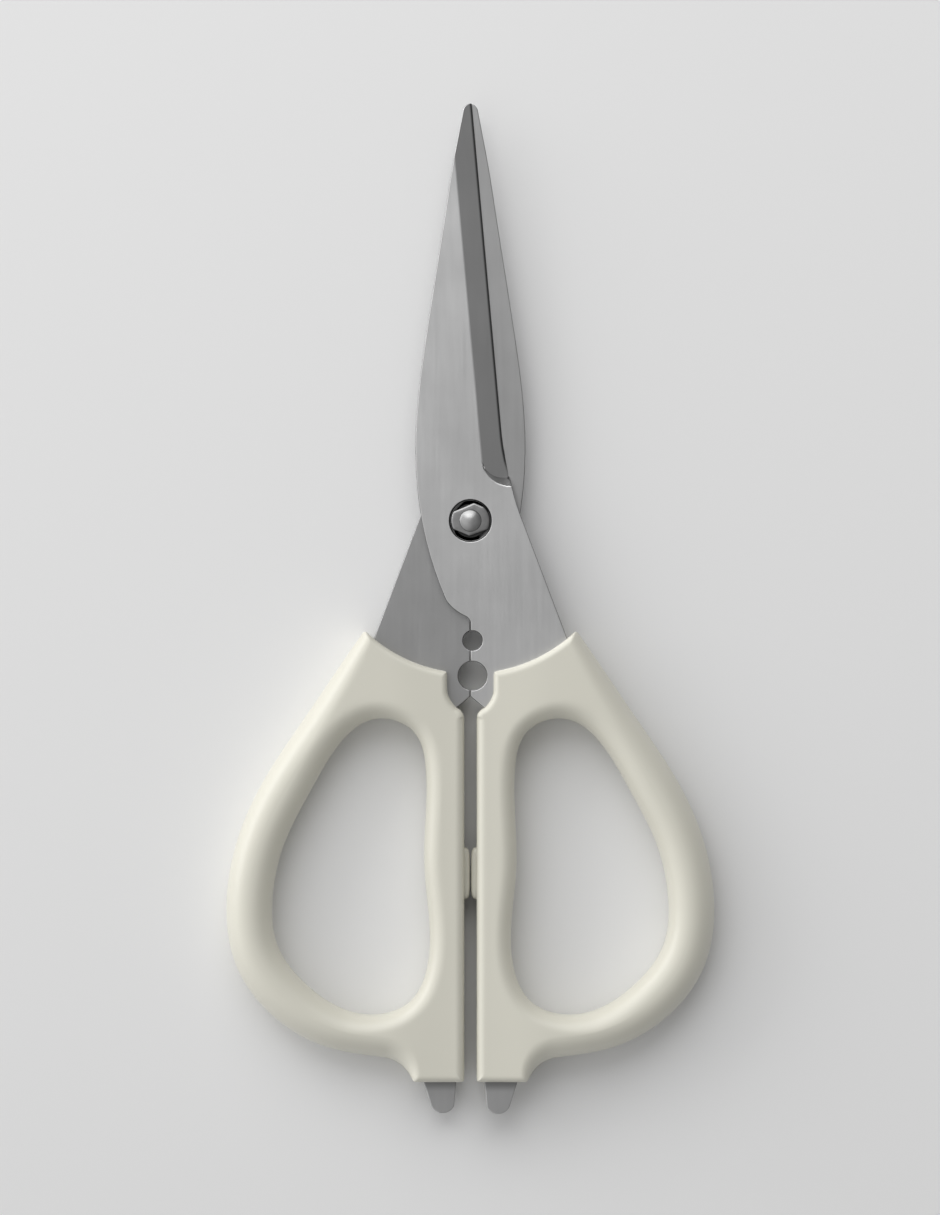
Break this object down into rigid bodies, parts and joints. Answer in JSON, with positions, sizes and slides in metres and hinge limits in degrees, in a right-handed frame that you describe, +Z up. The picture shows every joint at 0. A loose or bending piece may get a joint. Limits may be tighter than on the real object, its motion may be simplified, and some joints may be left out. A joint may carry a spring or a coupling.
{
  "type": "poultry shears",
  "caption": "Take-apart kitchen poultry shears with crossed steel blades, stripping holes and closed finger-loop handles.",
  "frame": {"origin": "under the middle of the closed shears' whole length and width, on the surface they lie on", "axes": "+Y along the blades to the tips, +X to the right handle, which holds the front blade's tang, +Z up from the resting surface"},
  "size_m": [0.1108, 0.2294, 0.012],
  "materials": {
    "blade_steel": "fine satin ground stainless steel",
    "pivot_steel": "bright tumbled stainless steel",
    "handle_plastic": "cream soft satin moulded plastic"
  },
  "bodies": {
    "back_half": {"back_blade": "blade_steel", "left_handle": "handle_plastic", "pivot_stud": "pivot_steel", "pivot_bush": "pivot_steel", "keeper_wing": "pivot_steel", "back_washer": "pivot_steel"},
    "front_half": {"front_blade": "blade_steel", "right_handle": "handle_plastic"}
  },
  "joints": [
    {"name": "blade_pivot", "type": "hinge", "parent": "back_half", "child": "front_half", "pos_m": [0, 0.0199, 0.006], "axis": [0, 0, 1], "range_deg": [0, 112]}
  ]
}
